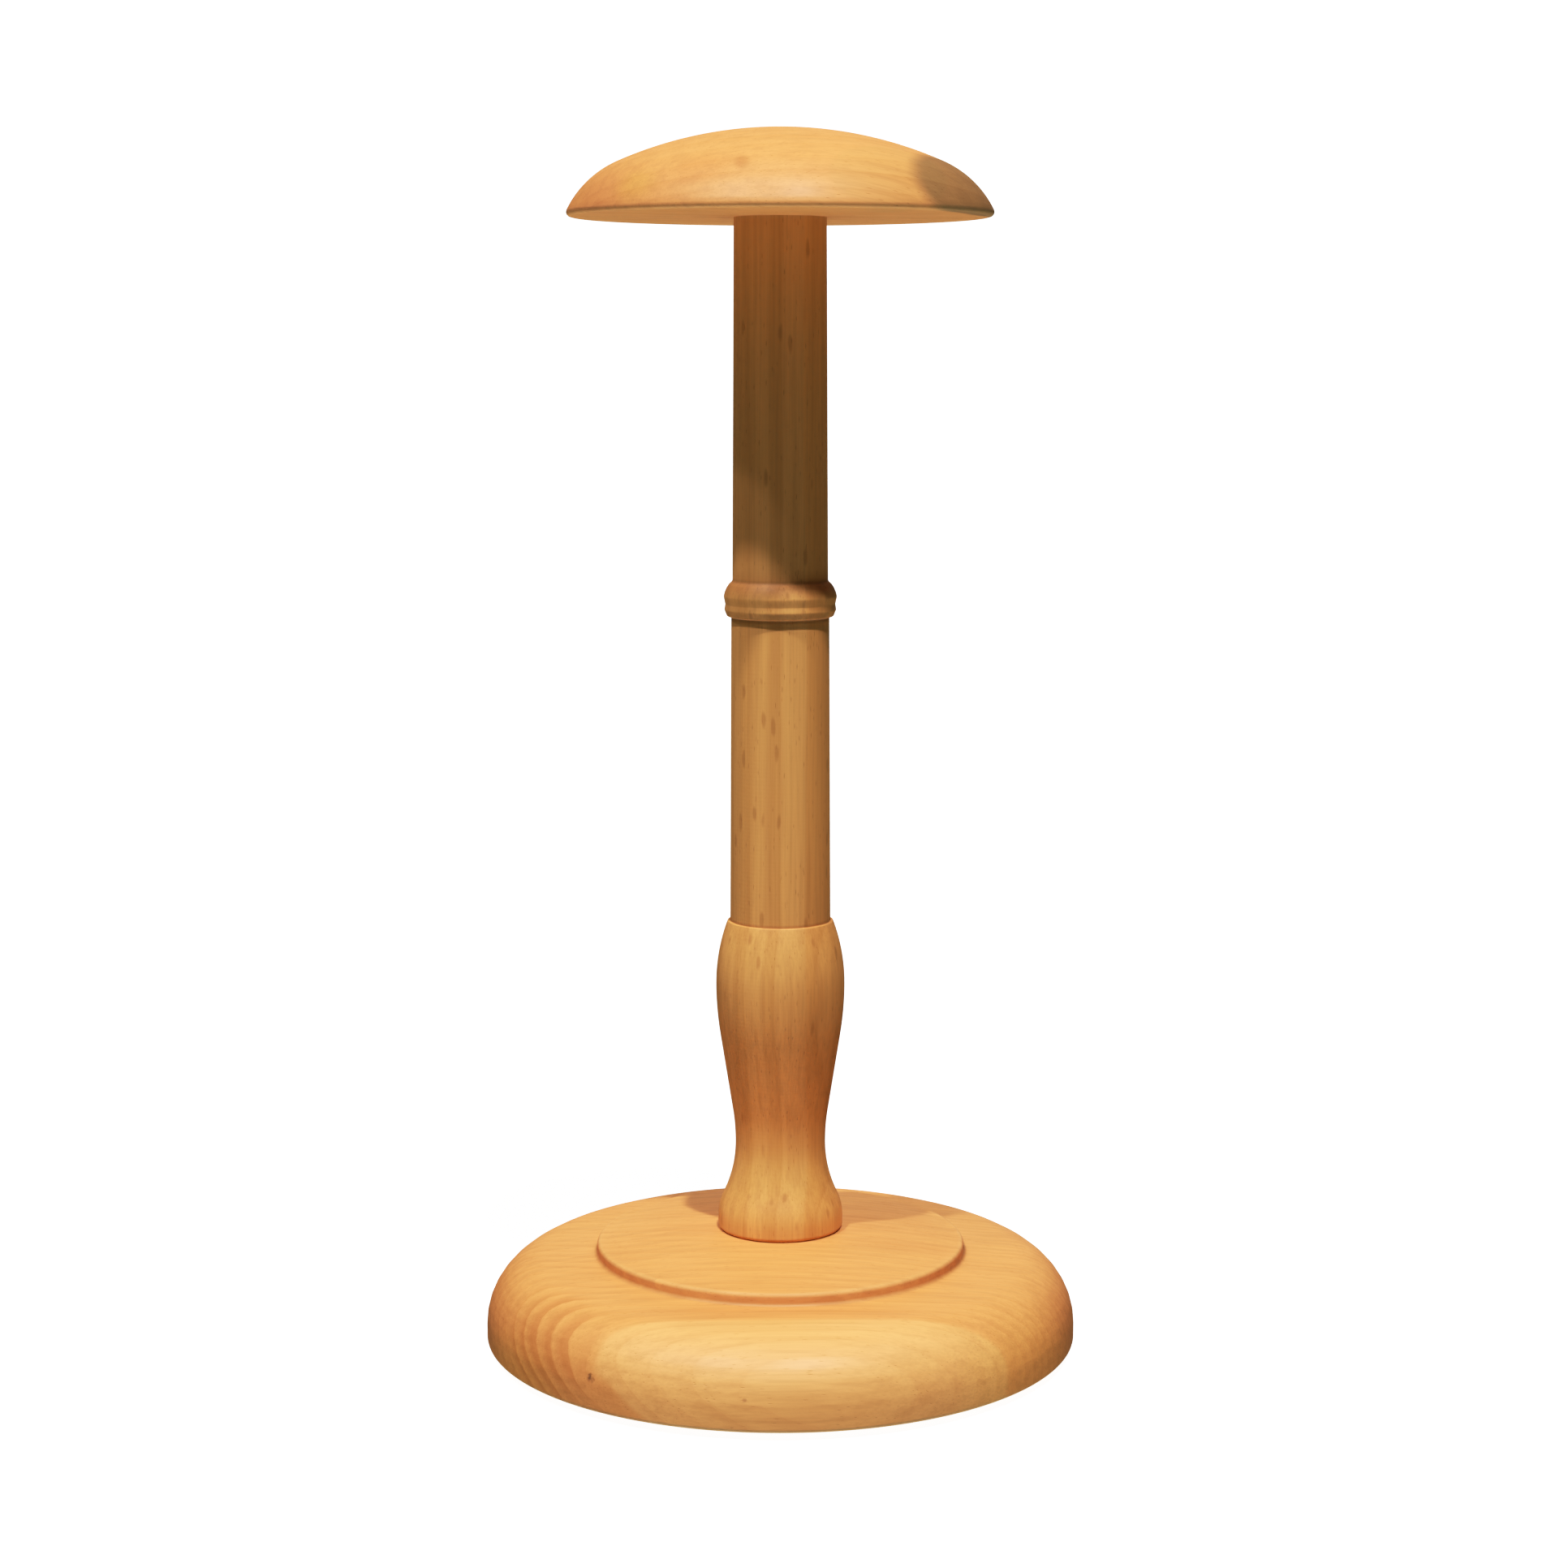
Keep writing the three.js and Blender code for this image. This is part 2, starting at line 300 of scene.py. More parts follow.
# how often each mark repeats per millimetre, along the grain and across it
markScale = {
    "drift": (0.006, 0.018),
    "wave": (0.022, 0.07),
    "cloud": (0.014, 0.03),
    "fibre": (0.035, 1.9),
    "streak": (0.012, 0.42),
    "pore": (0.22, 1.7),
    "fleckBend": (0.15, 0.5),
    "fleck": (0.085, 0.3),
}

lacquer = {
    "endTint": (0.74, 0.6, 0.5),
    # where on the outline pooled lacquer and painted shade darken the hollows
    "poolAndShadeFrom": (0.12, 0.7),
    "rubbedFrom": (-0.15, -0.8),
    "rubbedShare": 0.16,
    "hazeScale": 0.045,
    "gritScale": 0.9,
    "rough": 0.54,
    "roughShares": {"haze": 0.1, "grit": 0.07, "pore": 0.2, "late": 0.06, "rubbed": 0.1},
    "coat": 0.14,
    "coatShares": {"rubbed": -0.1, "pore": -0.08, "endGrain": -0.06},
}

# heights of the marks in millimetres
markRelief = {"cutter": 0.0022, "fibre": 0.012, "pore": -0.03, "fleck": -0.012, "grit": 0.02, "late": 0.015}


def grainAxes(timber):
    # the grain's direction and two directions square to it
    grain, across = (Vector(timber[key]).normalized() for key in ("grain", "across"))
    across = (across - grain * across.dot(grain)).normalized()
    return grain, across, grain.cross(across)


def summed(start, shares, marks):
    # a start value and, on top of it, each named mark times its share
    total = start
    for name, share in shares.items():
        total = total + share * marks[name]
    return total


class Timber:
    # one piece's wood: its look, and where a point is along the grain and across it
    def __init__(self, name, timber):
        self.look = Look(name, **{"IOR": 1.47, "Coat Roughness": 0.36, "Coat IOR": 1.5})
        self.timber = timber
        self.at = self.look.place()
        self.axes = grainAxes(timber)
        self.places = [self.at @ axis for axis in self.axes]

    def stretched(self, mark, bend=0.0):
        # the place, scaled for a noise whose marks lie along the grain
        along, across = markScale[mark]
        s, u, w = self.places
        return self.look.vector(s * along + bend, u * across, w * across)

    def rings(self):
        # growth rings: layers that lean, bow along the grain, twist, arch round the pith, and wave
        look, timber = self.look, self.timber
        s, u, w = self.places
        drift = look.noise(self.stretched("drift"), detail=1.0) - 0.5
        wave = look.noise(self.stretched("wave"), detail=2.0) - 0.5
        depth = self.at @ timber["layers"] + s * s * timber["bow"]
        depth = depth + s * w * timber["twist"] + w * w * timber["arch"]
        depth = depth + drift * timber["drift"] + wave * timber["wave"]
        for knot in timber["knots"]:
            depth = depth + knotSwirl(look, self.at, knot)
        count = depth / timber["ringSpacing"] + timber["ringStart"]
        uneven = look.noise(look.vector(count * 0.31, 0.0, 0.0), detail=0.0) - 0.5
        count = count + uneven * timber["ringJitter"]
        ring = look.node("Math", {"operation": "FRACT"}, {0: count})
        number = look.node("Math", {"operation": "FLOOR"}, {0: count})
        own = look.node("TexWhiteNoise", {"noise_dimensions": "1D"}, {"W": number})
        late = look.ramp(ring, [(p, (v, v, v, 1)) for p, v in timber["ringShape"]])
        return {"depth": depth, "late": late * (0.7 + 0.6 * own), "sway": wave * 2 + drift * 4}

    def marks(self):
        # fibres, pores and flecks lie along the grain
        look = self.look
        fibre = look.noise(self.stretched("fibre"), detail=4.0, roughness=0.62)
        streak = look.noise(self.stretched("streak"), detail=2.0)
        poreAt = self.stretched("pore")
        pore = look.between(look.cells(poreAt), 0.24, 0.08)
        pore = pore * look.between(look.cells(poreAt, output="Color"), 0.45, 0.6)
        bend = look.noise(self.stretched("fleckBend"), detail=1.0)
        fleckAt = self.stretched("fleck", bend * 0.35)
        fleck = look.between(look.cells(fleckAt), 0.26, 0.1)
        fleck = fleck * look.between(look.cells(fleckAt, output="Color"), 0.5, 0.62)
        return {"fibre": fibre, "streak": streak, "pore": pore, "fleck": fleck}

    def colour(self, marks):
        # rings show most where the cut runs along them
        look, timber, at, fibre = self.look, self.timber, self.at, marks["fibre"]
        shown = timber["calm"]
        for zone in timber["figured"]:
            shown = shown + patchShare(look, at, fibre, zone)
        body = look.mix(marks["late"] * shown, tone(timber["light"]), tone(timber["dark"]))
        cloud = look.between(look.noise(self.stretched("cloud"), detail=2.0), 0.35, 0.65)
        body = look.tinted(cloud * 0.5, body, timber["cloud"])
        shades = {
            "fibre": look.between(fibre, 0.35, 0.7),
            "streak": look.between(marks["streak"], 0.42, 0.66),
            "fleck": marks["fleck"],
            "pore": marks["pore"],
        }
        for mark, shade in shades.items():
            body = look.mix(shade * timber[mark], body, tone(timber["deep"]))
        for toneShift in timber["toneShifts"]:
            # beyond one layer, or beyond a slanting plane, the colour is tinted
            reach = at @ toneShift["along"] + marks["sway"] if "along" in toneShift else marks["depth"]
            share = look.between(reach, toneShift["from"], toneShift["from"] + toneShift["soft"])
            body = look.tinted(share, body, toneShift["tint"])
        # patches retint the wood: some follow its figure, and some are painted light and shade
        for patch in timber["patches"]:
            body = look.tinted(patchShare(look, at, fibre, patch), body, patch["tint"])
        for knot in timber["knots"]:
            body = look.mix(knotHeart(look, at, knot), body, tone(timber["knotTone"]))
        return body


def woodLook(name, timber):
    wood = Timber(name, timber)
    look = wood.look
    marks = {**wood.rings(), **wood.marks()}
    body = wood.colour(marks)

    # cut across the grain the wood drinks the lacquer and darkens
    cut = abs(look.node("TexCoord", output="Normal") @ wood.axes[0])
    marks["endGrain"] = look.between(cut, *timber["endCut"])
    body = look.tinted(marks["endGrain"] * timber["endGrain"], body, lacquer["endTint"])

    # lacquer pools in hollows and rubs thin on edges; the darker colour in the hollows is also painted
    # shade
    hollow = look.kept("hollow")
    poolAndShade = look.between(hollow, *lacquer["poolAndShadeFrom"])
    marks["rubbed"] = look.between(hollow, *lacquer["rubbedFrom"])
    body = look.mix(poolAndShade * timber["poolAndShadeShare"], body, tone(timber["poolAndShade"]))
    body = look.mix(marks["rubbed"] * lacquer["rubbedShare"], body, tone(timber["rubbed"]))

    # relief: cutter marks round the piece, fibres, open pores, and the lacquer's faint orange peel
    marks["haze"] = look.noise(wood.at, scale=lacquer["hazeScale"], detail=3.0)
    marks["grit"] = look.noise(wood.at, scale=lacquer["gritScale"], detail=2.0)
    turns = look.kept("travel") / timber["toolPitch"] + 0.6 * marks["haze"]
    marks["cutter"] = look.node("Math", {"operation": "SINE"}, {0: turns * (2 * math.pi)})
    rough = summed(lacquer["rough"], lacquer["roughShares"], marks)
    coat = summed(lacquer["coat"], lacquer["coatShares"], marks)
    relief = look.raised(summed(0.0, markRelief, marks), timber["relief"])
    look.feed(**{"Base Color": body, "Roughness": rough, "Coat Weight": coat, "Normal": relief})
    return look


def knotSwirl(look, at, knot):
    # rings part round a knot
    away = look.node("VectorMath", {"operation": "DISTANCE"}, {0: at, 1: knot["at"]}, output=1)
    return look.between(away, knot["swirl"], 0.0) * knot["push"]


def knotHeart(look, at, knot):
    away = look.node("VectorMath", {"operation": "DISTANCE"}, {0: at, 1: knot["at"]}, output=1)
    uneven = look.noise(at, scale=0.8, detail=2.0) - 0.5
    return look.between(away + uneven * knot["size"], knot["size"], knot["size"] * 0.35) * knot["share"]


def patchShare(look, at, fibre, patch):
    # how much of a patch with soft, ragged ends a point is in; it fills an ellipsoid
    offset = look.node("VectorMath", {"operation": "SUBTRACT"}, {0: at, 1: patch["at"]})
    shrunk = look.node("VectorMath", {"operation": "DIVIDE"}, {0: offset, 1: patch["reach"]})
    away = look.node("VectorMath", {"operation": "LENGTH"}, {0: shrunk}, output=1)
    away = away + (fibre - 0.5) * patch.get("ragged", 0.3)
    return look.between(away, 1.0, patch.get("core", 0.2)) * patch["share"]


timberTones = {
    "light": 0xde9758,
    "dark": 0xc98146,
    "deep": 0xa0642c,
    "cloud": (0.97, 0.93, 0.93),
    "pore": 0.45,
    # the darker colour in hollows, partly pooled lacquer and partly painted shade, and how much of it shows
    "poolAndShade": 0x8f5e30,
    "poolAndShadeShare": 0.6,
    "rubbed": 0xecc48c,
    "knotTone": 0x5c371a,
    "endCut": (0.45, 1.0),
}
ringShape = [(0.0, 0.25), (0.12, 0.0), (0.45, 0.3), (0.8, 0.75), (0.95, 1.0), (1.0, 0.25)]


# Base: a round plank with a large round-over and a raised table

low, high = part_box("base")
base = {
    "radius": high.x / mm,
    "height": (high.z - low.z) / mm,
    "footRound": 1.2,
    "roundOver": 17.8,
    "topSlope": 5,
    "shoulderHeight": 20.81,
    "tableRadius": 50.8,
    "tableStep": 3.3,
    "tableFoot": 1.1,
    "tableEdge": 1.3,
    "tableCrown": 0.45,
    "seatRadius": 17.9,
    "socketRadius": 10.3,
    "socketDepth": 12.5,
    "boltHoleRadius": boltPassage,
    "counterboreRadius": 11,
    "counterboreDepth": 11,
    "mouthRound": 0.4,
    "sides": 256,
}


def baseOutline(b):
    rise = math.tan(math.radians(b["topSlope"]))
    stepFoot = b["shoulderHeight"] + (b["radius"] - b["tableRadius"]) * rise
    stepTop = stepFoot + b["tableStep"]
    outside = rounded([
        (b["boltHoleRadius"], b["counterboreDepth"]),
        (b["counterboreRadius"], b["counterboreDepth"]),
        (b["counterboreRadius"], 0, b["mouthRound"]),
        (b["radius"], 0, b["footRound"]),
        (b["radius"], b["shoulderHeight"], b["roundOver"]),
        (b["tableRadius"] + 0.15, stepFoot, b["tableFoot"]),
        (b["tableRadius"], stepTop, b["tableEdge"]),
        (b["tableRadius"] - 2 * b["tableEdge"], stepTop + 0.1),
    ])
    # the table's crown, a shallow arc from its edge to the seat
    edge = outside[-1]
    seat = Vector((b["seatRadius"], b["height"]))
    crown = []
    for k in range(1, 25):
        share = k / 24
        proud = b["tableCrown"] * 4 * share * (1 - share)
        crown.append(edge.lerp(seat, share) + Vector((0, proud)))
    inside = rounded([
        (seat.x, seat.y),
        (b["socketRadius"], b["height"], b["mouthRound"]),
        (b["socketRadius"], b["height"] - b["socketDepth"]),
        (b["boltHoleRadius"], b["height"] - b["socketDepth"]),
        (b["boltHoleRadius"], b["counterboreDepth"]),
    ])
    return outside + crown + inside


baseTimber = {
    **timberTones,
    "grain": (1, 0.03, 0.0),
    "across": (0, -0.864, 0.503),
    "layers": (-0.035, -1, 0.468),
    "bow": 0.0016,
    "twist": 0.00625,
    "arch": 0,
    "drift": 3,
    "wave": 1.6,
    "ringSpacing": 3.75,
    "ringStart": 0.33,
    "ringJitter": 0.45,
    "ringShape": ringShape,
    "calm": 0.28,
    "figured": [
        {"at": (-62, -50, 14), "reach": (20, 26, 22), "share": 1.4},
    ],
    # the base shows less of the painted shade and pooled lacquer in its hollows
    "poolAndShadeShare": 0.35,
    "fibre": 0.18,
    "streak": 0.18,
    "fleck": 0.12,
    "endGrain": 0.5,
    "toolPitch": 1.3,
    "relief": 1.0,
    "toneShifts": [
        {"from": 70.5, "soft": 1.6, "tint": (1.12, 1.27, 1.44)},
    ],
    "patches": [
        # painted shade along the front of the table's step and the slope just below it
        {"at": (5, -54, 27), "reach": (60, 7, 12), "share": 0.6, "tint": (0.95, 0.88, 0.82)},
        # painted light on the lower front of the base, at its right end and then at its left
        {"at": (66, -48, 5), "reach": (36, 36, 19), "share": 0.9, "tint": (1.26, 1.38, 1.24)},
        {"at": (-74, -44, 2), "reach": (30, 34, 16), "share": 0.9, "tint": (1.14, 1.28, 1.12)},
        {"at": (34, -14, 30), "reach": (26, 9, 10), "share": 0.5, "tint": (0.86, 0.8, 0.74)},
        {"at": (-50, 10, 26), "reach": (30, 30, 16), "share": 0.5, "tint": (1.04, 1.12, 1.2)},
        {"at": (56, 22, 26), "reach": (26, 34, 16), "share": 0.5, "tint": (1.04, 1.12, 1.2)},
        {"at": (0, -86, 4), "reach": (60, 16, 9), "share": 0.6, "tint": (0.97, 0.93, 0.88)},
    ],
    "knots": [
        {"at": (-49.5, -65, 11), "size": 1.7, "swirl": 8, "push": 1.5, "share": 0.85},
        {"at": (-9, -80.8, 10.7), "size": 0.9, "swirl": 5, "push": 0.8, "share": 0.5},
    ],
}

baseTurning = turned("base_turning", baseOutline(base), base["sides"], low.z)
placed(baseTurning, "base", woodLook("baseWood", baseTimber))
print("base turned")


# Column: spigot, foot, neck, vase, ledge, shaft, bead and tenon in one turning

low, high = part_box("column")
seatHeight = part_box("base")[1].z
column = {
    "spigotRadius": 10,
    "spigotLength": (seatHeight - low.z) / mm,
    "spigotEase": 0.8,
    "insertRadius": 5.3,
    "insertDepth": 13.3,
    "boltHoleRadius": boltPassage,
    "boltHoleDepth": 16.6,
    "footRadius": 17.2,
    "footUnderRound": 1.2,
    "footEdgeHeight": 6.9,
    "footTopRound": 14,
    "neckRadius": 12.4,
    "neckHeight": 24.4,
    "neckUpperCove": 58,
    "bellyRadius": 17.65,
    "bellyHeight": 68.9,
    "bellyLowerArc": 88,
    "bellyUpperArc": 50,
    "ledgeHeight": 86.5,
    "ledgeRound": 0.3,
    "shaftFoot": 13.7,
    "shaftBelowBead": 13.25,
    "shaftAboveBead": 12.9,
    "shaftTop": 12.35,
    "beadHeight": 174.05,
    "beadLength": 10.8,
    "beadRadius": 15.4,
    "crestRise": 1.2,
    "crestRound": 1.5,
    "grooveHeight": 173.2,
    "grooveRadius": 14.86,
    "grooveRound": 0.9,
    "ringFoot": 169.6,
    "ringLowRadius": 14.4,
    "ringLowHeight": 169.95,
    "ringLowRound": 0.7,
    "ringRadius": 15.1,
    "ringHeight": 171.7,
    "ringRound": 0.9,
    "shaftRound": 0.25,
    "beadTopRound": 0.9,
    "length": (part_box("cap")[0].z - seatHeight) / mm,
    "tenonRadius": 8,
    "tenonTop": (high.z - seatHeight) / mm,
    "sides": 192,
}


def vaseOutline(c):
    # the foot's top round and its cove up to the neck, then the neck's cove, a straight flare, the
    # belly, and the arc in to the ledge
    across = c["footRadius"] - c["neckRadius"]
    up = c["neckHeight"] - c["footEdgeHeight"]
    footCove = (across ** 2 + up ** 2) / (2 * across)
    roundX = c["footRadius"] - c["footTopRound"]
    reach = c["neckRadius"] + footCove - roundX
    drop = math.sqrt((footCove + c["footTopRound"]) ** 2 - reach ** 2)
    lean = math.degrees(math.atan2(drop, reach))
    foot = arc((roundX, c["neckHeight"] - drop), c["footTopRound"], 0, lean)
    foot += arc((c["neckRadius"] + footCove, c["neckHeight"]), footCove, 180 + lean, 180)[1:]
    arcs = c["neckUpperCove"] + c["bellyLowerArc"]
    reach = arcs - (c["bellyRadius"] - c["neckRadius"])
    rise = c["bellyHeight"] - c["neckHeight"]
    flare = math.degrees(math.atan2(rise, reach) - math.acos(arcs / math.hypot(reach, rise)))
    ledge = math.degrees(math.asin((c["ledgeHeight"] - c["bellyHeight"]) / c["bellyUpperArc"]))
    neckCentre = (c["neckRadius"] + c["neckUpperCove"], c["neckHeight"])
    neck = arc(neckCentre, c["neckUpperCove"], 180, 180 - flare)
    lower = arc((c["bellyRadius"] - c["bellyLowerArc"], c["bellyHeight"]), c["bellyLowerArc"], -flare, 0)
    upper = arc((c["bellyRadius"] - c["bellyUpperArc"], c["bellyHeight"]), c["bellyUpperArc"], 0, ledge)
    return foot + neck[1:] + lower[:-1] + upper


def columnOutline(c):
    vase = vaseOutline(c)
    half = c["beadLength"] / 2
    below, above = c["shaftBelowBead"], c["shaftAboveBead"]
    proud = c["beadRadius"] - (below + above) / 2
    ball = (half * half + proud * proud) / (2 * proud)
    centre = (c["beadRadius"] - ball, c["beadHeight"])

    def beadAngle(rise):
        return math.degrees(math.asin(rise / ball))

    # above the incised line the bead is an arc, below it a narrow ring that draws in to the shaft
    bead = arc(centre, ball, beadAngle(c["crestRise"]), beadAngle(half))
    ledgeIn = vase[-1][0]
    inside = rounded([
        (0, c["boltHoleDepth"] - c["spigotLength"]),
        (c["boltHoleRadius"], c["boltHoleDepth"] - c["spigotLength"]),
        (c["boltHoleRadius"], c["insertDepth"] - c["spigotLength"]),
        (c["insertRadius"], c["insertDepth"] - c["spigotLength"]),
        (c["insertRadius"], -c["spigotLength"]),
        (c["spigotRadius"] - c["spigotEase"], -c["spigotLength"]),
        (c["spigotRadius"], c["spigotEase"] - c["spigotLength"]),
        (c["spigotRadius"], 0),
        (c["footRadius"], 0, c["footUnderRound"]),
        vase[0],
    ])
    shaft = rounded([
        vase[-2],
        (ledgeIn, c["ledgeHeight"], c["ledgeRound"]),
        (c["shaftFoot"], c["ledgeHeight"] + 0.1, 0.15),
        (below, c["ringFoot"], c["shaftRound"]),
        (c["ringLowRadius"], c["ringLowHeight"], c["ringLowRound"]),
        (c["ringRadius"], c["ringHeight"], c["ringRound"]),
        (c["grooveRadius"], c["grooveHeight"], c["grooveRound"]),
        (*bead[0], c["crestRound"]),
        bead[1],
    ])
    top = rounded([
        bead[-2],
        (above, c["beadHeight"] + half, c["beadTopRound"]),
        (c["shaftTop"], c["length"]),
        (c["tenonRadius"], c["length"]),
        (c["tenonRadius"], c["tenonTop"], c["spigotEase"]),
        (0, c["tenonTop"]),
    ])
    path = inside + vase[1:-2] + shaft + bead[2:-2] + top
    return [Vector(p[:2]) for p in path]


columnTimber = {
    **timberTones,
    # the column's tones are lighter than the base's, partly as painted light on its upright sides
    "light": 0xecae67,
    "dark": 0xda9c56,
    "grain": (0.004, 0.002, 1),
    "across": (0.95, -0.31, 0),
    "layers": (0.95, -0.31, 0),
    "bow": 0,
    "twist": 0,
    "arch": 0.003,
    "drift": 1.2,
    "wave": 0.5,
    "ringSpacing": 8.8,
    "ringStart": 0.47,
    "ringJitter": 0.2,
    "ringShape": [(0.0, 0.9), (0.06, 0.15), (0.3, 0.0), (0.6, 0.15), (0.7, 0.8), (0.97, 1.0)],
    "calm": 0.65,
    "figured": [],
    "fibre": 0.18,
    "streak": 0.16,
    "fleck": 0.4,
    "endGrain": 0.6,
    "endCut": (0.1, 0.6),
    "toolPitch": 1.1,
    "relief": 1.0,
    "toneShifts": [
        {"along": (1, 0, 0), "from": 6.2, "soft": 0.9, "tint": (0.99, 0.94, 0.86)},
    ],
    "patches": [
        # painted light and shade in bands up the vase, set to how light falls on it: warmer over the upper
        # belly, cooler at the waist, darker over the neck and foot, and a paler, yellower foot edge
        {"at": (0, 0, 80), "reach": (34, 34, 26), "share": 0.8, "tint": (1.07, 1.0, 0.96)},
        {"at": (0, 0, 49), "reach": (34, 34, 17), "share": 0.8, "tint": (0.93, 1.02, 1.04)},
        {"at": (0, 0, 22), "reach": (34, 34, 13), "share": 0.8, "tint": (0.79, 0.75, 0.77)},
        {"at": (0, 0, 1), "reach": (34, 34, 6), "share": 0.8, "tint": (0.98, 1.22, 1.5)},
    ],
    "knots": [],
}

columnTurning = turned("column_turning", columnOutline(column), column["sides"], seatHeight)
placed(columnTurning, "column", woodLook("columnWood", columnTimber))
print("column turned")


# Cap: the dome that the hat hangs on, with a flat underside and a blind hole for the tenon

low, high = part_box("cap")
cap = {
    "height": (high.z - low.z) / mm,
    "radius": high.x / mm,
    "crownArc": 108,
    "crownRadius": 43.4,
    "shoulderArc": 26.6,
    "rimRound": 1.2,
    "mortiseRadius": 8.3,
    "mortiseDepth": 14,
    "mouthRound": 0.3,
    "sides": 240,
}


def capOutline(c):
    crown = math.asin(c["crownRadius"] / c["crownArc"])
    apart = c["crownArc"] - c["shoulderArc"]
    crownCentre = (0, c["height"] - c["crownArc"])
    shoulder = (apart * math.sin(crown), crownCentre[1] + apart * math.cos(crown))
    rimReach = c["shoulderArc"] - c["rimRound"]
    rimRise = c["rimRound"] - shoulder[1]
    rim = (shoulder[0] + math.sqrt(rimReach ** 2 - rimRise ** 2), c["rimRound"])
    rimAngle = math.degrees(math.asin(rimRise / rimReach))
    join = 90 - math.degrees(crown)
    inside = rounded([
        (0, c["mortiseDepth"]),
        (c["mortiseRadius"], c["mortiseDepth"]),
        (c["mortiseRadius"], 0, c["mouthRound"]),
        (rim[0], 0),
    ])
    edge = arc(rim, c["rimRound"], -90, rimAngle)
    dome = arc(shoulder, c["shoulderArc"], rimAngle, join) + arc(crownCentre, c["crownArc"], join, 90)
    path = inside[:-1] + edge + dome
    return [Vector((max(p[0], 0), p[1])) for p in path]


capTimber = {
    **timberTones,
    # painted light: the cap is set lighter than the base, for the stronger light it catches up high
    "light": 0xea9f5e,
    "dark": 0xd58b4b,
    "grain": (0.93, 0.32, -0.2),
    "across": (0.3, -0.22, 0.93),
    "layers": (0.3, -0.22, 0.93),
    "bow": 0.0007,
    "twist": 0.002,
    "arch": 0.003,
    "drift": 4,
    "wave": 1.6,
    "ringSpacing": 5.2,
    "ringStart": 0.6,
    "ringJitter": 0.8,
    "ringShape": ringShape,
    "calm": 0.3,
    "figured": [
        {"at": (28, -46, 316), "reach": (16, 14, 16), "share": 0.2},
    ],
    "fibre": 0.18,
    "streak": 0.16,
    "fleck": 0.14,
    "endGrain": 0.4,
    "toolPitch": 1.3,
    "relief": 1.0,
    "toneShifts": [
        # the dome's front right end, beyond a slanting plane, is darker and greyer
        {"along": (0.74, -0.3, 0.55), "from": 208.7, "soft": 2.6, "tint": (0.41, 0.49, 0.5)},
    ],
    "patches": [
        {"at": (-19, -46, 318), "reach": (13, 12, 7), "share": 0.55, "tint": (0.88, 0.78, 0.66)},
        {"at": (-9.5, -47, 319.5), "reach": (2.8, 5, 4), "share": 0.75, "tint": (0.7, 0.64, 0.5)},
        {"at": (27, -38, 316), "reach": (17, 34, 9.5), "share": 0.9, "tint": (0.93, 0.97, 0.96),
         "ragged": 0.1, "core": 0.86},
        {"at": (-36, -38, 314), "reach": (9, 12, 6), "share": 0.6, "tint": (0.98, 1.08, 0.8)},
        {"at": (-46, -30, 312), "reach": (12, 20, 10), "share": 0.7, "tint": (0.9, 0.84, 0.9)},
    ],
    "knots": [],
}

capTurning = turned("cap_turning", capOutline(cap), cap["sides"], low.z)
placed(capTurning, "cap", woodLook("capWood", capTimber))
print("cap turned")


# Bolt, washers and insert, out of sight in the base

def metalLook(name, metal):
    look = Look(name, **{"Metallic": 1.0, "IOR": 2.5})
    at = look.place()
    film = look.noise(at, scale=0.35, detail=3.0)
    scratch = look.noise(look.vector(at @ (9, 0, 0), at @ (0, 9, 0), at @ (0, 0, 0.7)), detail=3.0)
    worn = look.between(look.kept("hollow"), -0.1, -0.7)
    body = look.mix(film, tone(metal["tone"]), tone(metal["film"]))
    body = look.mix(worn * 0.6, body, tone(metal["bright"]))
    rough = metal["rough"] + 0.18 * film + 0.1 * scratch - 0.12 * worn
    look.feed(**{"Base Color": body, "Roughness": rough}, Normal=look.raised(0.01 * scratch + 0.004 * film))
    return look


steelLook = metalLook("zincSteel", {"tone": 0xb7b9bd, "film": 0xa9a79a, "bright": 0xe2e3e6, "rough": 0.22})
brassLook = metalLook("brass", {"tone": 0xc9a250, "film": 0xb08a3e, "bright": 0xe6c878, "rough": 0.2})

low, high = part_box("base_bolt")
bolt = {
    "headRadius": high.x / mm,
    "headHeight": 6,
    "headEase": 0.5,
    "threadRadius": boltRadius,
    "underRound": 0.2,
    "pitch": 1.0,
    "threadDepth": 0.61,
    "threadSteep": 2.6,
    "threadFlat": 0.15,
    "threadRunIn": 1.5,
    "threadRunOut": 0.8,
    "tipEase": 0.8,
    "keyWidth": 5,
    "keyDepth": 3,
    "knurls": 40,
    "knurlDepth": 0.14,
    "meshStep": 0.16,
    "sides": 160,
}
bolt["length"] = (high.z - low.z) / mm - bolt["headHeight"]


def boltSurface(radius, height, angles):
    # knurls down the head's side, and a screw thread on the shank
    b = bolt
    if height <= -b["headEase"] and radius[0] > b["headRadius"] - 0.01:
        return radius - b["knurlDepth"] * np.abs(np.sin(angles * b["knurls"] / 2))
    if 0 < height and radius[0] > 0:
        turn = (height / b["pitch"] - angles / (2 * math.pi)) % 1
        depth = b["threadDepth"] * np.clip(b["threadSteep"] * np.abs(turn - 0.5) - b["threadFlat"], 0, 1)
        ends = min(1, height / b["threadRunIn"], (b["length"] - height) / b["threadRunOut"])
        return radius - depth * max(0, ends)
    return radius


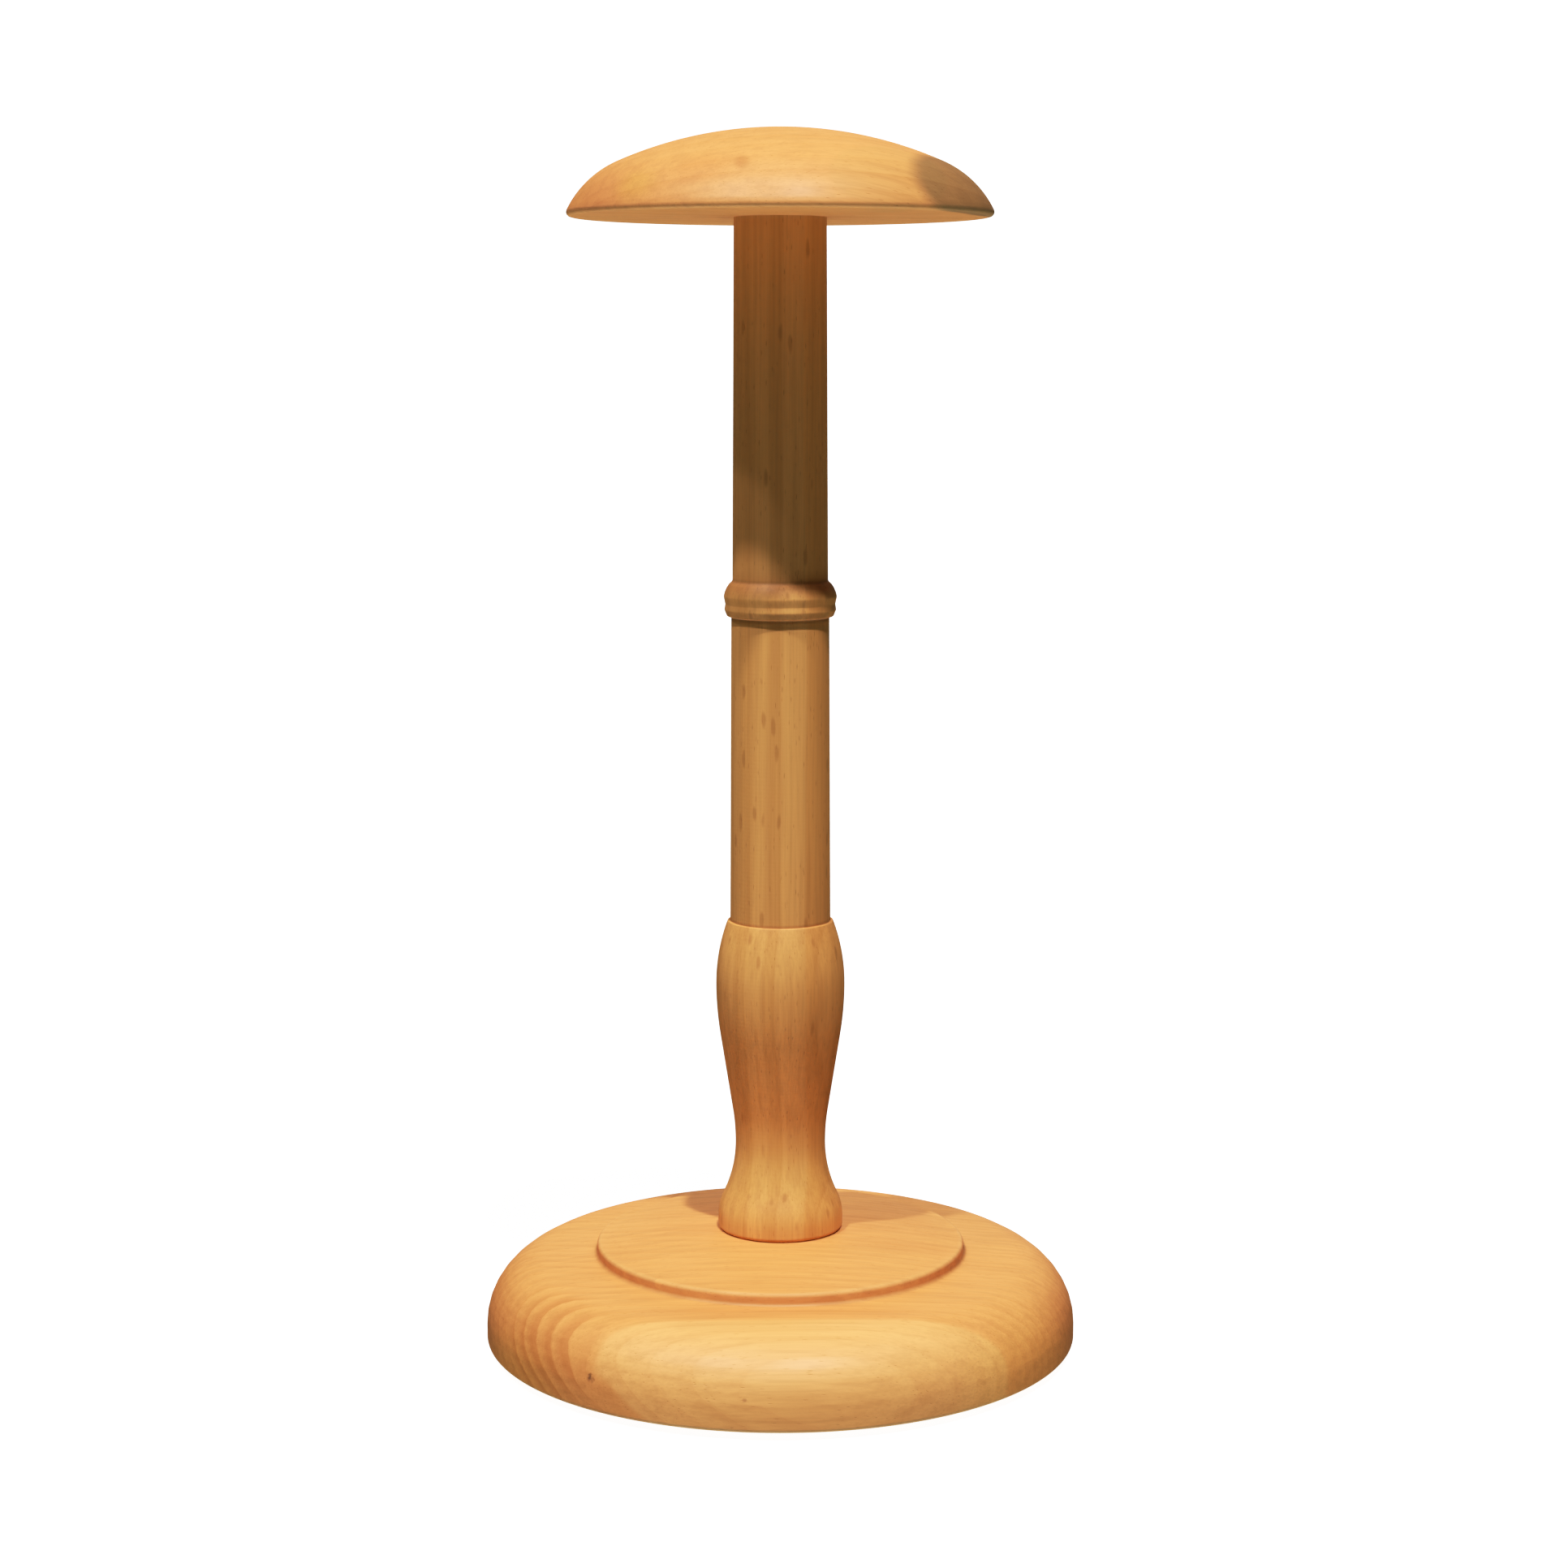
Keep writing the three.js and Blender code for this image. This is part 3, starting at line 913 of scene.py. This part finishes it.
def makeBolt():
    b = bolt
    outline = rounded([
        (0, -b["headHeight"]),
        (b["headRadius"], -b["headHeight"], b["headEase"]),
        (b["headRadius"], 0, b["underRound"]),
        (b["threadRadius"], 0, b["underRound"]),
        (b["threadRadius"], b["length"], b["tipEase"]),
        (0, b["length"]),
    ])
    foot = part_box("base_bolt")[0].z + b["headHeight"] * mm
    piece = turned("bolt", outline, b["sides"], foot, longest=b["meshStep"], shape=boltSurface)
    key = bpy.data.meshes.new("key")
    corner = b["keyWidth"] / math.sqrt(3)
    ends = (foot / mm - 2 * b["headHeight"], foot / mm - b["headHeight"] + b["keyDepth"])
    points = []
    for height in ends:
        for k in range(6):
            points.append((corner * math.cos(k * math.pi / 3), corner * math.sin(k * math.pi / 3), height))
    sides = [(k, (k + 1) % 6, (k + 1) % 6 + 6, k + 6) for k in range(6)]
    key.from_pydata([[v * mm for v in p] for p in points], [], [*sides, range(5, -1, -1), range(6, 12)])
    cutter = bpy.data.objects.new("key", key)
    bpy.context.scene.collection.objects.link(cutter)
    cut = piece.modifiers.new("key", "BOOLEAN")
    cut.operation = "DIFFERENCE"
    cut.object = cutter
    bpy.context.view_layer.update()
    solid = bpy.data.meshes.new_from_object(piece.evaluated_get(bpy.context.evaluated_depsgraph_get()))
    piece.modifiers.clear()
    piece.data = solid
    bpy.data.objects.remove(cutter)
    solid.set_sharp_from_angle(angle=math.radians(40))
    return placed(piece, "base_bolt", steelLook)


makeBolt()

washer = {"hole": boltPassage, "edgeRound": 0.35, "splitGap": 22, "sides": 96}


def makeFlatWasher():
    low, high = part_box("flat_washer")
    outer, thick = high.x / mm, (high.z - low.z) / mm
    e = washer["edgeRound"]
    outline = rounded([
        (washer["hole"], thick / 2),
        (washer["hole"], 0, e / 2),
        (outer, 0, e),
        (outer, thick, e),
        (washer["hole"], thick, e / 2),
        (washer["hole"], thick / 2),
    ])
    piece = turned("flat_washer_ring", outline, washer["sides"], low.z, longest=0.8)
    placed(piece, "flat_washer", steelLook)


def makeSpringWasher():
    # a square bar rolled into a ring, with the gap where it is split
    low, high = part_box("spring_washer")
    outer, thick = high.y / mm, (high.z - low.z) / mm
    e = washer["edgeRound"]
    section = rounded([
        (washer["hole"], thick / 2),
        (washer["hole"], 0, e),
        (outer, 0, e),
        (outer, thick, e),
        (washer["hole"], thick, e),
        (washer["hole"], thick / 2 + 0.01),
    ])
    half = washer["splitGap"] / 2
    points, faces, count = [], [], len(section)
    for k in range(washer["sides"] + 1):
        angle = math.radians(half + (360 - 2 * half) * k / washer["sides"])
        for p in section:
            points.append((p.x * math.cos(angle) * mm, p.x * math.sin(angle) * mm, p.y * mm + low.z))
    for row in range(washer["sides"]):
        for k in range(count):
            a, b = row * count + k, row * count + (k + 1) % count
            faces.append((a, a + count, b + count, b))
    faces.append(list(range(count)))
    faces.append(list(range(washer["sides"] * count + count - 1, washer["sides"] * count - 1, -1)))
    mesh = bpy.data.meshes.new("spring_washer_ring")
    mesh.from_pydata(points, [], faces)
    placed(finished("spring_washer_ring", mesh), "spring_washer", steelLook)


makeFlatWasher()
makeSpringWasher()

low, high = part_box("thread_insert")
insert = {
    "radius": high.x / mm,
    "length": (high.z - low.z) / mm,
    "collar": 1.5,
    "barbs": 5,
    "barbDepth": 0.5,
    "barbFoot": 0.35,
    "bore": boltPassage,
    "pitch": 1.0,
    "threadDepth": 0.25,
    "meshStep": 0.2,
    "sides": 96,
}


def insertThread(radius, height, angles):
    if radius[0] > insert["bore"] + 0.01:
        return radius
    turn = (height / insert["pitch"] - angles / (2 * math.pi)) % 1
    return radius + insert["threadDepth"] * np.abs(2 * turn - 1)


def makeInsert():
    i = insert
    pitch = (i["length"] - i["collar"]) / i["barbs"]
    outline = [(i["bore"], 0), (i["radius"], 0), (i["radius"], i["collar"])]
    for k in range(i["barbs"]):
        foot = i["collar"] + k * pitch
        root = i["radius"] - i["barbDepth"]
        outline.append((root, foot + i["barbFoot"] * pitch))
        outline.append((i["radius"] if k < i["barbs"] - 1 else root, foot + pitch))
    outline += [(i["bore"], i["length"]), (i["bore"], 0)]
    piece = turned("insert_barrel", outline, i["sides"], low.z, longest=i["meshStep"], shape=insertThread)
    placed(piece, "thread_insert", brassLook)


makeInsert()
print("bolt, washers and insert made")


# Felt pads

feltPad = {
    "edgeRound": 0.5,
    "fuzz": 0.12,
    "waves": 12,
    "fewestTufts": 15,
    "tuftStep": 3,
    "sides": 144,
    "felt": 0x4e3d30,
    "pale": 0x6d5847,
    "hair": 0x8b7562,
    "seed": 4,
}


def feltLook():
    look = Look("felt", **{"Roughness": 0.95, "Sheen Weight": 0.35, "Sheen Roughness": 0.6})
    at = look.place()
    mat = look.noise(at, scale=1.1, detail=5.0, roughness=0.7, distortion=1.5)
    fluff = look.noise(look.vector(at @ (2.5, 1.5, 0), at @ (-1.5, 2.5, 0), at @ (0, 0, 4)), detail=3.0)
    hairs = look.between(abs(mat - 0.5), 0.06, 0.0)
    body = look.mix(look.between(fluff, 0.3, 0.7), tone(feltPad["felt"]), tone(feltPad["pale"]))
    body = look.mix(hairs * 0.35, body, tone(feltPad["hair"]))
    look.feed(**{"Base Color": body}, Normal=look.raised(0.12 * mat + 0.08 * fluff + 0.05 * hairs))
    return look


def makePads():
    felt = feltLook()
    rng = np.random.default_rng(feltPad["seed"])
    for node in sorted(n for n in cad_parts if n.startswith("felt_pad")):
        low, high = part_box(node)
        radius, thick = (high.x - low.x) / 2 / mm, (high.z - low.z) / mm
        middle = (low + high) / 2
        e = feltPad["edgeRound"]
        outline = rounded([(0, 0), (radius, 0, e), (radius, thick, e), (0, thick)])
        waves = rng.normal(size=(feltPad["waves"], 2))

        def ragged(ring, height, angles):
            # loose felt makes the rim uneven
            if ring[0] < radius - 1.5 * e:
                return ring
            loose = 0
            for k, (size, shift) in enumerate(waves):
                tufts = feltPad["fewestTufts"] + feltPad["tuftStep"] * k
                loose = loose + size * np.sin(tufts * angles + shift)
            return ring - feltPad["fuzz"] * (0.6 + np.clip(loose / feltPad["waves"], -0.6, 1))

        pad = turned(node + "_felt", outline, feltPad["sides"], low.z, longest=0.5, shape=ragged)
        pad.data.transform(pad.matrix_world.Translation(Vector((middle.x, middle.y, 0))))
        placed(pad, node, felt)


makePads()
print("felt pads cut")


# Floor, backdrop, light and camera

studio = {
    "floorTone": (0.34, 0.34, 0.335, 1),
    "floorGlow": 1.12,
    "floorRadius": 7.0,
    "sides": 96,
    "backdrop": 1.5,
    # a lamp's turn is from the front towards the right, and its lift is above the floor; the last one
    # lights the back, softly and without sheen
    "lamps": [
        {"turn": -42, "lift": 63.7, "strength": 1.5},
        {"turn": 19, "lift": 67.3, "strength": 2.6},
        {"turn": -68, "lift": 57, "strength": 0.34},
        {"turn": 172, "lift": 12, "strength": 0.9, "size": 40, "gloss": False},
    ],
    "lampSize": 2.0,
    "lampTone": (1, 0.985, 0.95),
    # the light from straight below to straight above
    "sky": [
        (0.0, (2.6, 3.1, 2.8, 1)),
        (0.05, (1.8, 2.1, 1.85, 1)),
        (0.09, (1.05, 1.1, 0.9, 1)),
        (0.17, (0.1, 0.086, 0.055, 1)),
        (0.3, (0.036, 0.026, 0.013, 1)),
        (0.45, (0.021, 0.014, 0.007, 1)),
        (0.6, (0.038, 0.031, 0.02, 1)),
        (1.0, (0.115, 0.11, 0.1, 1)),
    ],
}


def discMesh(name, radius, rings, height):
    # flat disc for the floor, or a dome over it where height gives the rise
    points, faces, sides = [(0, 0, height)], [], studio["sides"]
    for ring in range(1, rings + 1):
        lean = math.pi / 2 * ring / rings
        r = radius * (math.sin(lean) if height else ring / rings)
        z = height * math.cos(lean)
        for k in range(sides):
            a = 2 * math.pi * k / sides
            points.append((r * math.cos(a), r * math.sin(a), z))
    for k in range(sides):
        faces.append((0, 1 + k, 1 + (k + 1) % sides))
    for ring in range(rings - 1):
        for k in range(sides):
            a, b = 1 + ring * sides + k, 1 + ring * sides + (k + 1) % sides
            faces.append((a, a + sides, b + sides, b))
    mesh = bpy.data.meshes.new(name)
    mesh.from_pydata(points, [], faces)
    return finished(name, mesh)


def makeStage():
    floor = discMesh("floor", studio["floorRadius"], 2, 0)
    glowing = {"Emission Color": (1, 1, 1, 1)}
    look = Look("paleFloor", **glowing, **{
        "Base Color": studio["floorTone"],
        "Roughness": 0.7,
        "Emission Strength": studio["floorGlow"],
    })
    floor.data.materials.append(look.material)
    dome = discMesh("backdrop", studio["floorRadius"] * 0.99, 16, studio["floorRadius"] * 0.99)
    plain = Look("paleBackdrop", **glowing, **{
        "Base Color": (0, 0, 0, 1),
        "Specular IOR Level": 0.0,
        "Emission Strength": studio["backdrop"],
    })
    dome.data.materials.append(plain.material)
    # the camera sees floor and backdrop, but they neither light the wood nor mirror in it
    for sheet in (floor, dome):
        sheet.visible_diffuse = sheet.visible_glossy = sheet.visible_shadow = False


def makeLights():
    world = bpy.data.worlds.new("studio")
    bpy.context.scene.world = world
    world.use_nodes = True
    nodes, links = world.node_tree.nodes, world.node_tree.links
    spot = nodes.new("ShaderNodeTexCoord")
    split = nodes.new("ShaderNodeSeparateXYZ")
    rise = nodes.new("ShaderNodeMapRange")
    rise.inputs["From Min"].default_value = -1
    sky = nodes.new("ShaderNodeValToRGB")
    setStops(sky, studio["sky"])
    links.new(spot.outputs["Generated"], split.inputs[0])
    links.new(split.outputs["Z"], rise.inputs["Value"])
    links.new(rise.outputs[0], sky.inputs[0])
    links.new(sky.outputs[0], nodes["Background"].inputs["Color"])
    for place in studio["lamps"]:
        light = bpy.data.lights.new("lamp", "SUN")
        light.energy = place["strength"]
        light.angle = math.radians(place.get("size", studio["lampSize"]))
        light.color = studio["lampTone"]
        lamp = bpy.data.objects.new("lamp", light)
        lamp.rotation_euler = (math.radians(90 - place["lift"]), 0, math.radians(place["turn"]))
        lamp.visible_glossy = place.get("gloss", True)
        bpy.context.scene.collection.objects.link(lamp)


# the lens's focal length is given in the photo's pixels
camera = {"x": 1.0, "distance": 801, "height": 273, "pitch": 8.3, "focalPixels": 3665, "framePixels": 1932}


def makeCamera():
    view = bpy.data.cameras.new("camera")
    view.sensor_width = 36
    view.lens = view.sensor_width * camera["focalPixels"] / camera["framePixels"]
    view.clip_start, view.clip_end = 0.01, 50
    eye = bpy.data.objects.new("camera", view)
    eye.location = (camera["x"] * mm, -camera["distance"] * mm, camera["height"] * mm)
    eye.rotation_euler = (math.radians(90 - camera["pitch"]), 0, 0)
    bpy.context.scene.collection.objects.link(eye)
    bpy.context.scene.camera = eye


# linear light as it falls, and as the photo shows it
film = [
    (0.03, 0.03), (0.06, 0.061), (0.12, 0.126), (0.2, 0.227), (0.3, 0.36),
    (0.45, 0.54), (0.65, 0.705), (0.85, 0.835), (1.1, 0.95), (1.35, 1.0),
]


def developPhoto():
    # the camera's response: deep tones kept, middle tones lifted, bright ones rolled off
    settings = bpy.context.scene.view_settings
    settings.view_transform = "Standard"
    settings.use_curve_mapping = True
    mapping = settings.curve_mapping
    mapping.clip_max_x = film[-1][0]
    response = mapping.curves[3]
    response.points[1].location = film[-1]
    for light, shown in film[:-1]:
        response.points.new(light, shown)
    mapping.update()


makeStage()
makeLights()
makeCamera()
developPhoto()
print("stage, light and camera set")
